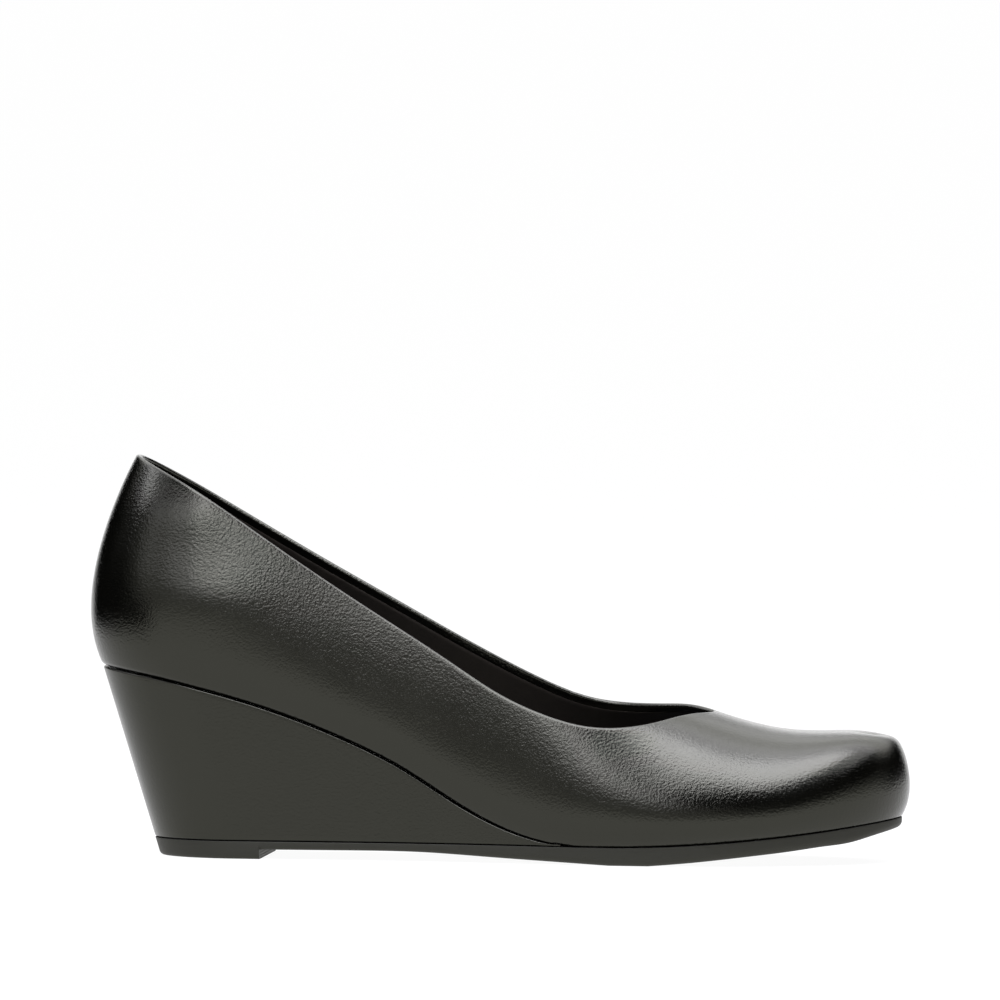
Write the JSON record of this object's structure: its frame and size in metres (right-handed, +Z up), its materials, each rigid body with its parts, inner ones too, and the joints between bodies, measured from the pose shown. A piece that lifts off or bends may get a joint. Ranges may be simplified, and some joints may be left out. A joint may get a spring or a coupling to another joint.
{
  "type": "wedge pump",
  "caption": "Woman's slip-on leather pump with a round toe, a low-cut top line and a covered wedge on a thin rubber outsole with a heel lift.",
  "frame": {"origin": "on the floor, under the middle of the shoe's length and width", "axes": "+X along the shoe to the toe, +Z up from the floor; -Y is the outer side of the foot and +Y the inner side"},
  "size_m": [0.2492, 0.0826, 0.1216],
  "materials": {
    "upper_leather": "smooth black leather, satin gloss, fine grain",
    "wedge_leather": "smooth black leather cover, satin",
    "sole_rubber": "matt black rubber",
    "insole_leather": "matt black lining leather"
  },
  "bodies": {
    "root": {"outsole": "sole_rubber", "wedge": "wedge_leather", "insole": "insole_leather", "upper": "upper_leather"}
  },
  "joints": []
}
